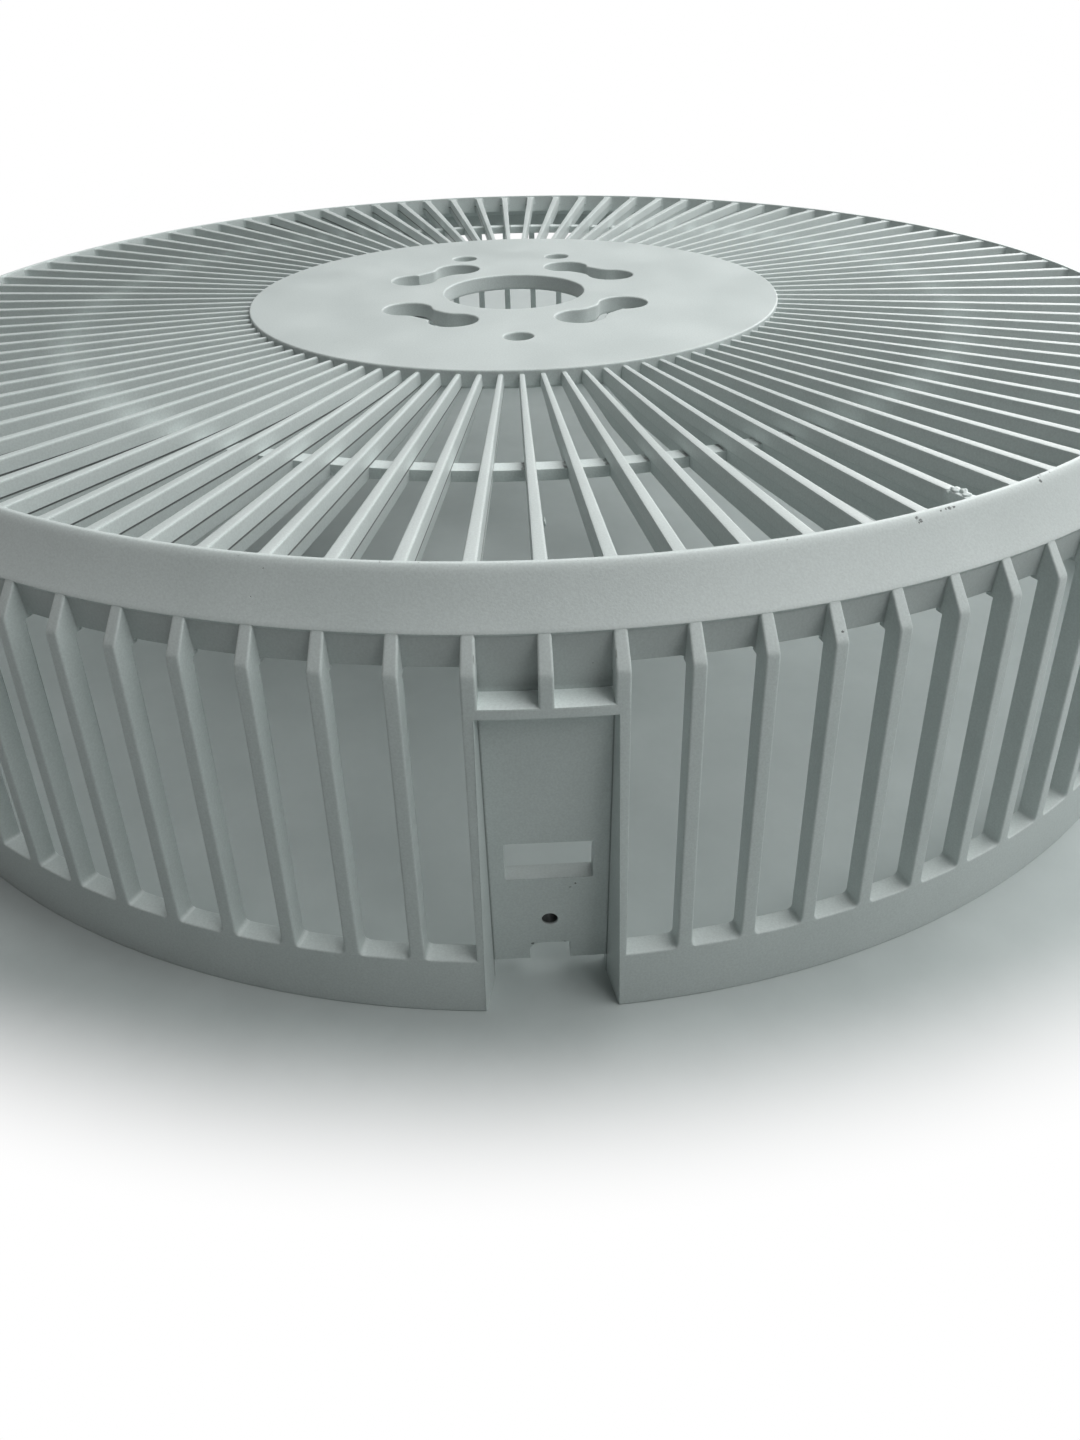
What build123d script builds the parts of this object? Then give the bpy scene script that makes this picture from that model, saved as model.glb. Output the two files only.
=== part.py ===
"""Desk fan rear guard: one plastic moulding that stands on its open ring with the hub plate on top.

Millimetres, +Z up. The origin is on the guard's axis at the level of the ring's lower face, and the
mounting panel is at -Y. Every rib of the flat face carries on downwards as one side bar.
"""
from build123d import *
from math import cos, radians, sin, tan
import os

# Pattern
rib_count = 96

# Heights above the surface that the ring stands on
hub_top = 78.5
rim_top = 78.1
rib_top = 77.7
parting_height = 75.0
rib_bottom = 72.6
band_edge_height = 70.7
knuckle_height = 66.0
wall_edge_height = 65.2
ring_height = 11.8

# Hub plate
hub_radius = 70.0
hub_thickness = 4.0
hub_edge_round = 0.5
centre_hole_radius = 18.8
screw_hole_radius = 3.5
screw_circle_radius = 44.0
rear_screw_angle = 18.5
slot_count = 4
slot_circle_radius = 32.0
slot_lobe_angle = 15.5
slot_lobe_radius = 6.2
slot_waist = 7.2
slot_blend = 6.0
same_place = 0.01

# Ribs, and the ring that ties them halfway
rib_width_at_hub = 1.2
rib_width_at_rim = 2.2
rib_chamfer = 0.25
parting_step = 0.14
rib_root_length = 21.0
rib_bury = 0.7
tie_ring_inner = 112.2
tie_ring_outer = 115.9

# Rim band, and the upright wall under it
rim_inner = 157.0
rim_lip = 0.9
rim_floor = 3.2
band_edge_radius = 165.5
band_hollow = 0.14
band_land = 0.3
wall_face = 165.1
wall_thickness = 2.8

# Side bars and bottom ring
knuckle_radius = 169.3
ring_outer = 175.3
cage_thickness = 3.6
opening_width = 8.9
opening_corner = 0.8

# Mounting panel, set back between two posts
panel_face = 167.2
panel_thickness = 3.4
panel_half_width = 10.05
panel_foot = 4.4
recess_draft = 11.0
shelf_top = 61.0
shelf_thickness = 1.8
panel_slot_width = 14.7
panel_slot_height = 8.0
panel_slot_centre = 28.3
panel_screw_radius = 1.4
panel_screw_height = 14.3
notch_width = 7.1
notch_depth = 3.9
notch_chamfer = 1.2

# How far a cutter runs past what it cuts
cutter_margin = 2.0

# Worked out from the sizes above
pitch = 360 / rib_count
gap_count = rib_count - 2
hub_bottom = hub_top - hub_thickness
rib_start = hub_radius - rib_bury
rib_end = rim_inner + rib_bury
wall_back = wall_face - wall_thickness
panel_back = panel_face - panel_thickness
cage_lean = (ring_outer - knuckle_radius) / knuckle_height
post_half_width = ring_outer * sin(radians(1.5 * pitch)) - opening_width / 2
cut_reach = ring_outer - wall_back + 2 * cutter_margin


def cage_outer(height):
    """Radius of the bars' outer faces at a height."""
    return ring_outer - cage_lean * height


def cage_inner(height):
    """Radius of the bars' inner edges at a height."""
    return cage_outer(height) - cage_thickness


# Hub plate: centre hole, three screw holes and four waisted slots
with BuildSketch() as hub_slot:
    chord_distance = slot_circle_radius * cos(radians(slot_lobe_angle))
    lobe_offset = slot_circle_radius * sin(radians(slot_lobe_angle))
    with Locations((chord_distance, lobe_offset), (chord_distance, -lobe_offset)):
        Circle(slot_lobe_radius)
    with Locations((chord_distance, 0)):
        Rectangle(slot_waist, 2 * lobe_offset)
    waist_edges = (chord_distance - slot_waist / 2, chord_distance + slot_waist / 2)
    waist_corners = hub_slot.vertices().filter_by(
        lambda corner: min(abs(corner.X - edge) for edge in waist_edges) < same_place
    )
    # The corner that the motor's lug stops against stays sharp: outer side, anticlockwise end
    stop_corner = waist_corners.filter_by(lambda corner: corner.X > chord_distance and corner.Y > 0)
    fillet(waist_corners - stop_corner, slot_blend)

with BuildPart() as hub:
    with BuildSketch(Plane.XY.offset(hub_bottom)):
        Circle(hub_radius)
    extrude(amount=hub_thickness)
    fillet(hub.edges().group_by(Axis.Z)[-1], hub_edge_round)
    with BuildSketch(Plane.XY.offset(hub_bottom)):
        Circle(centre_hole_radius)
        for screw_angle in (-90, 90 - rear_screw_angle, 90 + rear_screw_angle):
            with PolarLocations(screw_circle_radius, 1, start_angle=screw_angle):
                Circle(screw_hole_radius)
        with PolarLocations(0, slot_count, start_angle=180 / slot_count):
            add(hub_slot.sketch)
    extrude(amount=hub_thickness, mode=Mode.SUBTRACT)

# One rib, from inside the hub's edge to inside the rim, set in by a small step below its parting line
with BuildPart() as rib:
    for inset, bottom, top in ((0, parting_height, rib_top), (parting_step, rib_bottom, parting_height)):
        with BuildSketch(Plane.XY.offset(bottom)):
            with BuildLine():
                Polyline(
                    (inset - rib_width_at_hub / 2, -rib_start),
                    (rib_width_at_hub / 2 - inset, -rib_start),
                    (rib_width_at_rim / 2 - inset, -rib_end),
                    (inset - rib_width_at_rim / 2, -rib_end),
                    close=True,
                )
            make_face()
        extrude(amount=top - bottom)
    top_edges = rib.edges().group_by(Axis.Z)[-1].sort_by(Axis.X)
    chamfer((top_edges[0], top_edges[-1]), rib_chamfer)
    # Root, rising to the underside of the hub plate
    with BuildSketch(Plane.YZ):
        with BuildLine():
            Polyline(
                (-hub_radius - rib_root_length, rib_bottom),
                (-hub_radius, hub_bottom),
                (0, hub_bottom),
                (0, rib_bottom - cutter_margin),
                (-hub_radius - rib_root_length, rib_bottom - cutter_margin),
                close=True,
            )
        make_face()
    extrude(amount=rib_width_at_rim, both=True, mode=Mode.SUBTRACT)

# Rim band, wall and the full turned form that the side bars and the ring are cut from
with BuildPart() as cage:
    with BuildSketch(Plane.XZ):
        with BuildLine():
            band_start = Vector(rim_inner + rim_lip, rim_top)
            band_end = Vector(band_edge_radius, band_edge_height + band_land)
            hollow = Vector(band_hollow, band_hollow)
            wall_foot = wall_edge_height - opening_corner
            Polyline((rim_inner, rib_bottom), (rim_inner, rim_top), band_start)
            ThreePointArc(band_start, (band_start + band_end) / 2 - hollow, band_end)
            Polyline(
                band_end,
                (band_edge_radius, band_edge_height),
                (knuckle_radius, knuckle_height),
                (ring_outer, 0),
                (cage_inner(0), 0),
                (cage_inner(wall_foot), wall_foot),
                (wall_back, wall_foot),
                (wall_back, band_edge_height),
                (rim_inner + rim_floor, rib_bottom),
                (rim_inner, rib_bottom),
            )
        make_face()
    revolve(axis=Axis.Z)
    # Backing for the mounting panel and its posts, inside the turned form's outer face
    with BuildSketch(Plane.YZ):
        with BuildLine():
            block_reach = cage_thickness / 2
            Polyline(
                (-panel_back, 0),
                (-panel_back, shelf_top - 2 * shelf_thickness),
                (-wall_back, shelf_top - shelf_thickness),
                (-wall_back, wall_edge_height),
                (block_reach - cage_outer(wall_edge_height), wall_edge_height),
                (block_reach - ring_outer, 0),
                close=True,
            )
        make_face()
    extrude(amount=post_half_width, both=True)

# What is cut away in front of the wall between two bars
with BuildPart() as pocket_cutter:
    with BuildSketch(Plane.XZ.offset(wall_face)):
        with Locations((0, (shelf_top + band_edge_height + band_land / 2) / 2)):
            Rectangle(opening_width, band_edge_height + band_land / 2 - shelf_top)
    extrude(amount=cut_reach)

# The opening below the wall, with the pocket above it
with BuildPart() as gap_cutter:
    with BuildSketch(Plane.XZ.offset(wall_back - cutter_margin)):
        with Locations((0, (ring_height + wall_edge_height) / 2)):
            RectangleRounded(opening_width, wall_edge_height - ring_height, opening_corner)
    extrude(amount=cut_reach)
    add(pocket_cutter.part)

# Flat face: hub plate, tie ring and ribs
with BuildPart() as grille:
    with BuildSketch(Plane.XY.offset(rib_bottom)):
        Circle(tie_ring_outer)
        Circle(tie_ring_inner, mode=Mode.SUBTRACT)
    extrude(amount=parting_height - rib_bottom)
    add(hub.part)
    with PolarLocations(0, rib_count):
        add(rib.part)

# Whole guard
with BuildPart() as rear_guard:
    add(cage.part)
    with PolarLocations(0, gap_count, start_angle=1.5 * pitch, angular_range=gap_count * pitch):
        add(gap_cutter.part, mode=Mode.SUBTRACT)
    with PolarLocations(0, 2, start_angle=-pitch / 2, angular_range=2 * pitch):
        add(pocket_cutter.part, mode=Mode.SUBTRACT)
    # Recess in front of the panel, with drafted sides
    with BuildSketch(Plane.XY):
        with BuildLine():
            mouth = panel_face + cut_reach
            mouth_half_width = panel_half_width + cut_reach * tan(radians(recess_draft))
            Polyline(
                (-panel_half_width, -panel_face),
                (panel_half_width, -panel_face),
                (mouth_half_width, -mouth),
                (-mouth_half_width, -mouth),
                close=True,
            )
        make_face()
    extrude(amount=shelf_top - shelf_thickness, mode=Mode.SUBTRACT)
    # Foot opening with its notch, the slot and the screw hole
    with BuildSketch(Plane.XZ.offset(panel_back - cutter_margin)):
        with Locations((0, panel_foot / 2)):
            Rectangle(2 * panel_half_width, panel_foot)
        with BuildLine():
            notch_half = notch_width / 2
            notch_top = panel_foot + notch_depth
            Polyline(
                (-notch_half, 0),
                (-notch_half, notch_top - notch_chamfer),
                (notch_chamfer - notch_half, notch_top),
                (notch_half, notch_top),
                (notch_half, 0),
                close=True,
            )
        make_face()
        with Locations((0, panel_slot_centre)):
            Rectangle(panel_slot_width, panel_slot_height)
        with Locations((0, panel_screw_height)):
            Circle(panel_screw_radius)
    extrude(amount=cut_reach, mode=Mode.SUBTRACT)
    add(grille.part)

rear_guard.part.label = "rear_guard"
os.makedirs("parts", exist_ok=True)
export_step(rear_guard.part, "parts/rear_guard.step")
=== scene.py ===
# %% [markdown]
# # The rear guard of a desk fan
#
# The real object is one injection moulding in cool grey plastic: a hub plate, 96 straight ribs, a rim, the
# same number of upright side bars, a ring at their feet and one small mounting panel.
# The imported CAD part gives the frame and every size. It has sharp edges, and a moulding never has, so this
# script rebuilds the same surfaces with eased edges and gives them a plastic that shows a moulding's marks.

import math

import bpy
import numpy as np
from mathutils import Matrix, Vector
from mathutils.geometry import tessellate_polygon


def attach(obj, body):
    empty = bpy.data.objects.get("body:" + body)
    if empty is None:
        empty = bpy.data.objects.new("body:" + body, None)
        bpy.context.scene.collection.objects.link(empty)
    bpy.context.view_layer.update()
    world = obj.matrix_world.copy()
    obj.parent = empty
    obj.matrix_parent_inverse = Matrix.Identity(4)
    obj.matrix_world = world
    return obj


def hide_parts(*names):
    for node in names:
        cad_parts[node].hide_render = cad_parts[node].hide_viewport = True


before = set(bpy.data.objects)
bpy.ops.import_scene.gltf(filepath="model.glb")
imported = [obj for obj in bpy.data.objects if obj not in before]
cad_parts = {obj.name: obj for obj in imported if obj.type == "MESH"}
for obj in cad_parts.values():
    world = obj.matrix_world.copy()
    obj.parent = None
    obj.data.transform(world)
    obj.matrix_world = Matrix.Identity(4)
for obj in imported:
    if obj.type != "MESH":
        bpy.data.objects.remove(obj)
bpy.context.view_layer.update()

# %% [markdown]
# ## Sizes
#
# These are the part's own sizes in millimetres. A length in millimetres times MM is one in metres, which is
# what Blender uses here. The guard stands on its ring at height 0, and the panel is at -Y.

# %% Sizes
MM = 0.001
RIBS = 96
PITCH = 2 * math.pi / RIBS

HUB_TOP, RIM_TOP, RIB_TOP, PARTING, RIB_BOTTOM = 78.5, 78.1, 77.7, 75.0, 72.6
BAND_EDGE_Z, KNUCKLE_Z, WALL_Z, RING_Z = 70.7, 66.0, 65.2, 11.8

HUB_R, HUB_THICK, CENTRE_HOLE_R = 70.0, 4.0, 18.8
SCREW_R, SCREW_CIRCLE_R, REAR_SCREW = 3.5, 44.0, math.radians(18.5)
SLOT_CIRCLE_R, LOBE_ANGLE, LOBE_R, WAIST, SLOT_BLEND = 32.0, math.radians(15.5), 6.2, 7.2, 6.0

RIB_W_HUB, RIB_W_RIM, RIB_ROOT, PARTING_STEP = 1.2, 2.2, 21.0, 0.14
TIE_IN, TIE_OUT = 112.2, 115.9

RIM_IN, LIP_FLAT, RIM_FLOOR, BAND_R = 157.0, 0.5, 3.2, 165.5
WALL_R, WALL_THICK = 165.1, 2.8

KNUCKLE_R, RING_R, CAGE_THICK, GAP = 169.3, 175.3, 3.9, 8.75

PANEL_Y, PANEL_THICK, PANEL_HALF, PANEL_FOOT = 167.2, 3.4, 10.05, 4.4
RECESS_DRAFT = math.tan(math.radians(11))
SHELF_TOP, SHELF_THICK = 61.0, 1.8
PANEL_SLOT_W, PANEL_SLOT_H, PANEL_SLOT_Z = 14.7, 8.0, 28.3
PANEL_SCREW_R, PANEL_SCREW_Z = 1.4, 14.3
NOTCH_W, NOTCH_H, NOTCH_CHAMFER = 7.1, 3.9, 1.2

print("one pitch is", round(math.degrees(PITCH), 3), "degrees,", round(RIM_IN * PITCH, 2), "mm at the rim")

# %% [markdown]
# ## Tools: outlines, shells and plates
#
# Three small tools make every surface. `eased` turns a polygon of corners into an outline with soft corners,
# as an eased mould edge leaves them. `tube` skins a row of equal outlines into a closed skin. `keep`
# collects the skins, and turns one inside out if its faces point inwards: the signed volume tells.
# Overlapping skins in one mesh are the simple way to show a moulding whose arms run into each other.

# %% Tools for outlines and skins
def eased(corners, cut, steps=3):
    """Outline through corners of shape (..., n, 2). Each corner P becomes the parabola
    (1-s)^2 A + 2s(1-s) P + s^2 B, where A and B lie a length cut from P along its two sides. A corner with no
    cut stays one sharp point."""
    corners = np.asarray(corners, float)
    cut = np.broadcast_to(np.asarray(cut, float), corners.shape[:-1])[..., None]
    soft = cut.reshape(-1, corners.shape[-2])[0] > 0
    back = np.roll(corners, 1, -2) - corners
    ahead = np.roll(corners, -1, -2) - corners
    start = corners + cut * back / np.linalg.norm(back, axis=-1, keepdims=True)
    end = corners + cut * ahead / np.linalg.norm(ahead, axis=-1, keepdims=True)
    s = np.linspace(0, 1, steps)[:, None]
    arc = ((1 - s) ** 2 * start[..., None, :] + 2 * s * (1 - s) * corners[..., None, :]
           + s ** 2 * end[..., None, :])
    chosen = np.repeat(soft, steps) | (np.arange(soft.size * steps) % steps == steps // 2)
    return arc.reshape(*corners.shape[:-2], -1, 2)[..., chosen, :]


def tube(loops, closed=False):
    """Skin over loops of shape (copies, stations, points, 3). Point j of station i joins points j and j+1 of
    station i+1 as one quad. An open tube gets one flat cap at each end."""
    copies, stations, points, _ = loops.shape
    index = np.arange(copies * stations * points).reshape(copies, stations, points)
    here = index if closed else index[:, :-1]
    there = np.roll(index, -1, 1) if closed else index[:, 1:]
    quads = np.stack((here, np.roll(here, -1, 2), np.roll(there, -1, 2), there), -1).reshape(-1, 4)
    faces = [quads]
    if not closed:
        faces += [index[:, 0, ::-1], index[:, -1]]
    return loops.reshape(-1, 3), faces


skins = []


def keep(label, points, faces):
    """Adds one skin. The volume is the sum over triangles of p0 . (p1 x p2) / 6, and is positive when the
    faces point outwards."""
    volume = 0.0
    for face in faces:
        for j in range(1, face.shape[1] - 1):
            a, b, c = points[face[:, 0]], points[face[:, j]], points[face[:, j + 1]]
            volume += np.einsum("ij,ij->", a, np.cross(b, c)) / 6
    if volume < 0:
        faces = [face[:, ::-1] for face in faces]
    skins.append((points, faces))
    print(f"{label}: {len(points)} points, {sum(map(len, faces))} faces, {abs(volume) / 1000:.1f} cm3")


def polar(radius, side, height, turn):
    """Points from radial distance, sideways offset and height, turned about Z: at turn 0 the radius points
    to -Y, where the panel is, and side points to +X."""
    radius, side, height, turn = np.broadcast_arrays(radius, side, height, turn)
    return np.stack((radius * np.sin(turn) + side * np.cos(turn),
                     side * np.sin(turn) - radius * np.cos(turn), height), -1)


def turned(profile, begin=0.0, end=2 * math.pi, steps=4 * RIBS):
    """Skin of a closed (radius, height) profile carried round Z from one angle to another. The angles may
    differ from point to point of the profile, which gives slanted ends."""
    whole = np.allclose(np.asarray(end) - np.asarray(begin), 2 * math.pi)
    share = np.linspace(0, 1, steps, endpoint=not whole)[:, None]
    turn = begin + (end - np.asarray(begin)) * share
    return tube(polar(profile[:, 0], 0.0, profile[:, 1], turn)[None], closed=whole)


def flare(distance, radius):
    """Sideways growth of a fillet, a distance away from the face that it runs onto:
    r - sqrt(r^2 - (r - d)^2), and nothing beyond r."""
    rest = np.clip(radius - np.abs(distance), 0, radius)
    return radius - np.sqrt(radius ** 2 - rest ** 2)


# %% [markdown]
# ## Ribs
#
# A rib is a thin blade, 1.2 mm wide at the hub and 2.2 mm at the rim. The two mould halves meet 2.7 mm below
# its top, in a fine groove. The halves are turned against each other by a hair, so below that line the blade
# is flush on one side, where the groove shows as a dark line, and set in by a small step on the other. A
# bevelled box would have the soft edges, but not the taper, the rising root and the fillet at the rim. So one
# outline is worked out for each section along the rib, and the whole set is turned to 96 places at once.

# %% Ribs
RIB_EASE, FOOT_EASE, RIB_DRAFT, LOWER_DRAFT, BURY, RIB_FILLET = 0.42, 0.2, 0.1, 0.12, 0.7, 1.15
GROOVE, GROOVE_HALF, FLUSH = 0.13, 0.08, -0.01

# Distances from the axis of the sections along a rib, closer together where its fillet runs onto the rim
station = np.r_[HUB_R - BURY, 78.0, HUB_R + RIB_ROOT, 104.0, 122.0, 140.0,
                RIM_IN - RIB_FILLET * np.array([1.0, 0.45, 0.18, 0.04]), RIM_IN + BURY]
half = np.interp(station, (HUB_R, RIM_IN), (RIB_W_HUB / 2, RIB_W_RIM / 2))
half += flare(np.maximum(RIM_IN - station, 0.04 * RIB_FILLET), RIB_FILLET)
low = np.interp(station, (HUB_R, HUB_R + RIB_ROOT), (HUB_TOP - HUB_THICK, RIB_BOTTOM))
top = np.full_like(half, RIB_TOP)
seam = np.full_like(half, PARTING)


def rib_side(groove, step):
    """Corners of one side of the rib's section: down to the parting line, into its groove, and out again to
    the lower half, which is set in by the step."""
    wide = half + RIB_DRAFT
    return np.stack([np.stack(corner, -1) for corner in (
        (half, top), (wide, seam + GROOVE_HALF), (wide - groove, seam),
        (wide - step, seam - GROOVE_HALF), (wide - step - LOWER_DRAFT, low))], -2)


trailing_side = rib_side(PARTING_STEP / 2, PARTING_STEP)[:, ::-1] * (-1, 1)
rib_corners = np.concatenate((rib_side(GROOVE, FLUSH), trailing_side), -2)
rib_cut = np.array([RIB_EASE, 0, 0, 0, FOOT_EASE])
rib_outline = eased(rib_corners, np.r_[rib_cut, rib_cut[::-1]])
turns = PITCH * np.arange(RIBS)[:, None, None]
rib_points = polar(station[:, None], rib_outline[..., 0], rib_outline[..., 1], turns)
keep("ribs", *tube(rib_points))

# %% [markdown]
# ## Tie ring and rim
#
# Both are profiles carried once round the axis. The tie ring joins the ribs' lower halves and ends at the
# parting line, so it lies deep between them. The rim's profile climbs inside the ribs' ends, turns over a
# narrow lip, and falls in a slightly rounded band to an edge that stands a little proud of the wall below.

# %% Tie ring and rim
SMALL_EASE, BAND_CURL = 0.2, 0.3

tie_top = PARTING - SMALL_EASE
tie_corners = [(TIE_IN, RIB_BOTTOM), (TIE_OUT, RIB_BOTTOM), (TIE_OUT, tie_top), (TIE_IN, tie_top)]
keep("tie ring", *turned(eased(tie_corners, SMALL_EASE)))


def band_line(start, end, steep, roll, sweep, count=61):
    """Line from the lip to the band's edge, from its slope. A share s of the way along, the line has fallen
    off level by steep (1 - exp(-s / roll)) - sweep s: it rolls over quickly and then sweeps gently out. The
    running sums of cos and -sin of that angle give the line, which is then stretched onto its two ends."""
    s = np.linspace(0, 1, count) ** 1.5
    fall = steep * (1 - np.exp(-s / roll)) - sweep * s
    middle = (fall[1:] + fall[:-1]) / 2
    line = np.cumsum(np.diff(s)[:, None] * np.stack((np.cos(middle), -np.sin(middle)), -1), axis=0)
    return start + line / line[-1] * (np.asarray(end) - start)


lip = np.array([RIM_IN + LIP_FLAT, RIM_TOP])
band = band_line(lip, (BAND_R, BAND_EDGE_Z + BAND_CURL / 2), steep=math.radians(50), roll=0.055,
                 sweep=math.radians(10))[2::3]
wall_back = WALL_R - WALL_THICK
rim_corners = np.vstack((
    [(RIM_IN, RIB_BOTTOM), (RIM_IN, RIM_TOP)], lip, band,
    [(WALL_R, BAND_EDGE_Z - BAND_CURL), (WALL_R, WALL_Z), (wall_back, WALL_Z),
     (wall_back, BAND_EDGE_Z), (RIM_IN + RIM_FLOOR, RIB_BOTTOM)]))
# Cuts, in the same order: below and above the ribs' ends, none along the band, then its edge and the wall
rim_cut = np.r_[0.3, SMALL_EASE, np.zeros(len(band)), 0.28, SMALL_EASE, SMALL_EASE, 0.35, 0.5, 0.5]
keep("rim", *turned(eased(rim_corners, rim_cut)))
print("the band falls", round(float(lip[1] - band[-1, 1]), 2), "mm over", len(band), "points")

# %% [markdown]
# ## Side bars
#
# Every opening between two bars has the same width from top to bottom, because it is cut by a straight
# slide in the mould. So a bar's side is parallel to the middle line of the opening beside it, and the bar is
# wider where it stands further out: at radius R its half width is (R sin(p/2) - g/2) / cos(p/2), for a
# pitch p and an opening g. Small fillets widen its foot on the ring and its head under the wall.

# %% Side bars
BAR_EASE, FILLET, BEND, BEND_REACH, HEAD_BURY = 0.42, 0.9, 0.3, 3.0, 1.0


def cage_outer(height):
    """Radius of the bars' outer faces: a straight lean from the knuckle out to the ring's foot."""
    return RING_R - (RING_R - KNUCKLE_R) * np.asarray(height, float) / KNUCKLE_Z


def bar_half(radius):
    """Half width of a bar at a radius, from the openings on both sides of it."""
    return (radius * math.sin(PITCH / 2) - GAP / 2) / math.cos(PITCH / 2)


def bar_loops(heights, turn, ease=BAR_EASE):
    """Outlines of one bar at the given heights. Up to the knuckle the outer face leans, and above it the face
    falls back in a straight slope to the band's edge. The bend between the two lines a and b is rounded as
    (a + b - sqrt((a - b)^2 + bend^2)) / 2, and fades to nothing at the band. Above the opening the bar runs
    into the wall."""
    heights = np.asarray(heights, float)
    slope = (BAND_R - KNUCKLE_R) / (BAND_EDGE_Z - KNUCKLE_Z)
    lean, fall = cage_outer(heights), KNUCKLE_R + slope * (heights - KNUCKLE_Z)
    bend = BEND * np.clip((BAND_EDGE_Z - heights) / (BAND_EDGE_Z - KNUCKLE_Z), 0, 1)
    outer = (lean + fall - np.sqrt((lean - fall) ** 2 + bend ** 2)) / 2
    outer = np.where(heights < KNUCKLE_Z - BEND_REACH, lean, outer)
    inner = np.where(heights < WALL_Z - FILLET, cage_outer(heights) - CAGE_THICK, WALL_R - HEAD_BURY)
    grow = flare(heights - RING_Z, FILLET) * (heights >= RING_Z)
    front, rear = bar_half(outer) + grow, bar_half(inner) + grow
    corners = np.stack((np.stack((front, outer), -1), np.stack((rear, inner), -1),
                        np.stack((-rear, inner), -1), np.stack((-front, outer), -1)), -2)
    loop = eased(corners, np.minimum(ease, front[:, None] * 0.9), steps=4)
    return polar(loop[..., 1], loop[..., 0], heights[:, None], turn)


# Heights of a bar's sections, close together in the foot's fillet and round the knuckle
foot = RING_Z + FILLET * np.array([-0.6, 0.0, 0.06, 0.2, 0.45, 1.0])
head = np.array([WALL_Z - FILLET - 0.02, WALL_Z - FILLET + 0.02, KNUCKLE_Z - 0.8, KNUCKLE_Z - 0.35,
                 KNUCKLE_Z - 0.1, KNUCKLE_Z + 0.1, KNUCKLE_Z + 0.35, KNUCKLE_Z + 0.8, 68.4, BAND_EDGE_Z - 0.3,
                 BAND_EDGE_Z + 0.1])
bar_heights = np.r_[foot, 24.0, 38.0, 52.0, head]
bar_turns = PITCH * np.arange(2, RIBS - 1)[:, None, None]
keep("side bars", *tube(bar_loops(bar_heights, bar_turns)))
print(len(bar_turns), "bars;", round(2 * float(bar_half(KNUCKLE_R)), 2), "mm wide at the knuckle")

# Fillets in the top corners of the openings, which reach only as deep as the wall, less a hair
TOP_FILLET, HAIR = 0.5, 0.03
below = TOP_FILLET * np.array([1.0, 0.62, 0.34, 0.15, 0.04, 0.0, -0.4])
wall_faces = np.array([WALL_R - HAIR, wall_back + HAIR])
spread = bar_half(wall_faces) + flare(np.maximum(below, 0), TOP_FILLET)[:, None]
corner_side = np.stack((spread[:, 0], spread[:, 1], -spread[:, 1], -spread[:, 0]), -1)
corner_depth = wall_faces[[0, 1, 1, 0]]
keep("top fillets", *tube(polar(corner_depth, corner_side, (WALL_Z - below)[:, None], bar_turns)))

# %% [markdown]
# ## Ring
#
# The ring is an open band: it stops at the panel, where the recess has drafted sides. Each point of its
# profile therefore starts and ends at its own angle, the one where its radius meets the recess side.

# %% Ring
def recess_half(depth):
    """Half width of the recess at a distance from the axis along -Y: it opens outwards at the draft angle."""
    return PANEL_HALF + (depth - PANEL_Y) * RECESS_DRAFT


foot_r, head_r = cage_outer(0), cage_outer(RING_Z)
ring_corners = [(foot_r - CAGE_THICK, 0), (foot_r, 0), (head_r, RING_Z), (head_r - CAGE_THICK, RING_Z)]
ring_profile = eased(ring_corners, (0.3, 0.3, 0.35, 0.35), steps=4)
ring_begin = np.arcsin(recess_half(ring_profile[:, 0]) / ring_profile[:, 0])
keep("ring", *turned(ring_profile, ring_begin, 2 * math.pi - ring_begin))

# %% [markdown]
# ## Mounting panel
#
# The panel is a plate set back between two posts, with a slot, a screw hole and a notched foot. Holes could
# be cut with a Boolean, but that leaves their edges sharp. So a plate is made from its outlines: each outline
# runs in a few steps over the eased edge, down the wall and back, and the two flat faces are filled with
# triangles.

# %% Plates with holes
def circle(radius, x=0.0, y=0.0, count=48):
    """Points of a circle, anticlockwise."""
    angle = np.linspace(0, 2 * math.pi, count, endpoint=False)
    return np.stack((x + radius * np.cos(angle), y + radius * np.sin(angle)), -1)


def grown(outline, distance):
    """Anticlockwise outline moved outwards: along the normal (ty, -tx) of its tangent t."""
    tangent = np.roll(outline, -1, 0) - np.roll(outline, 1, 0)
    normal = np.stack((tangent[:, 1], -tangent[:, 0]), -1) / np.linalg.norm(tangent, axis=1, keepdims=True)
    return outline + distance * normal


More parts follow.
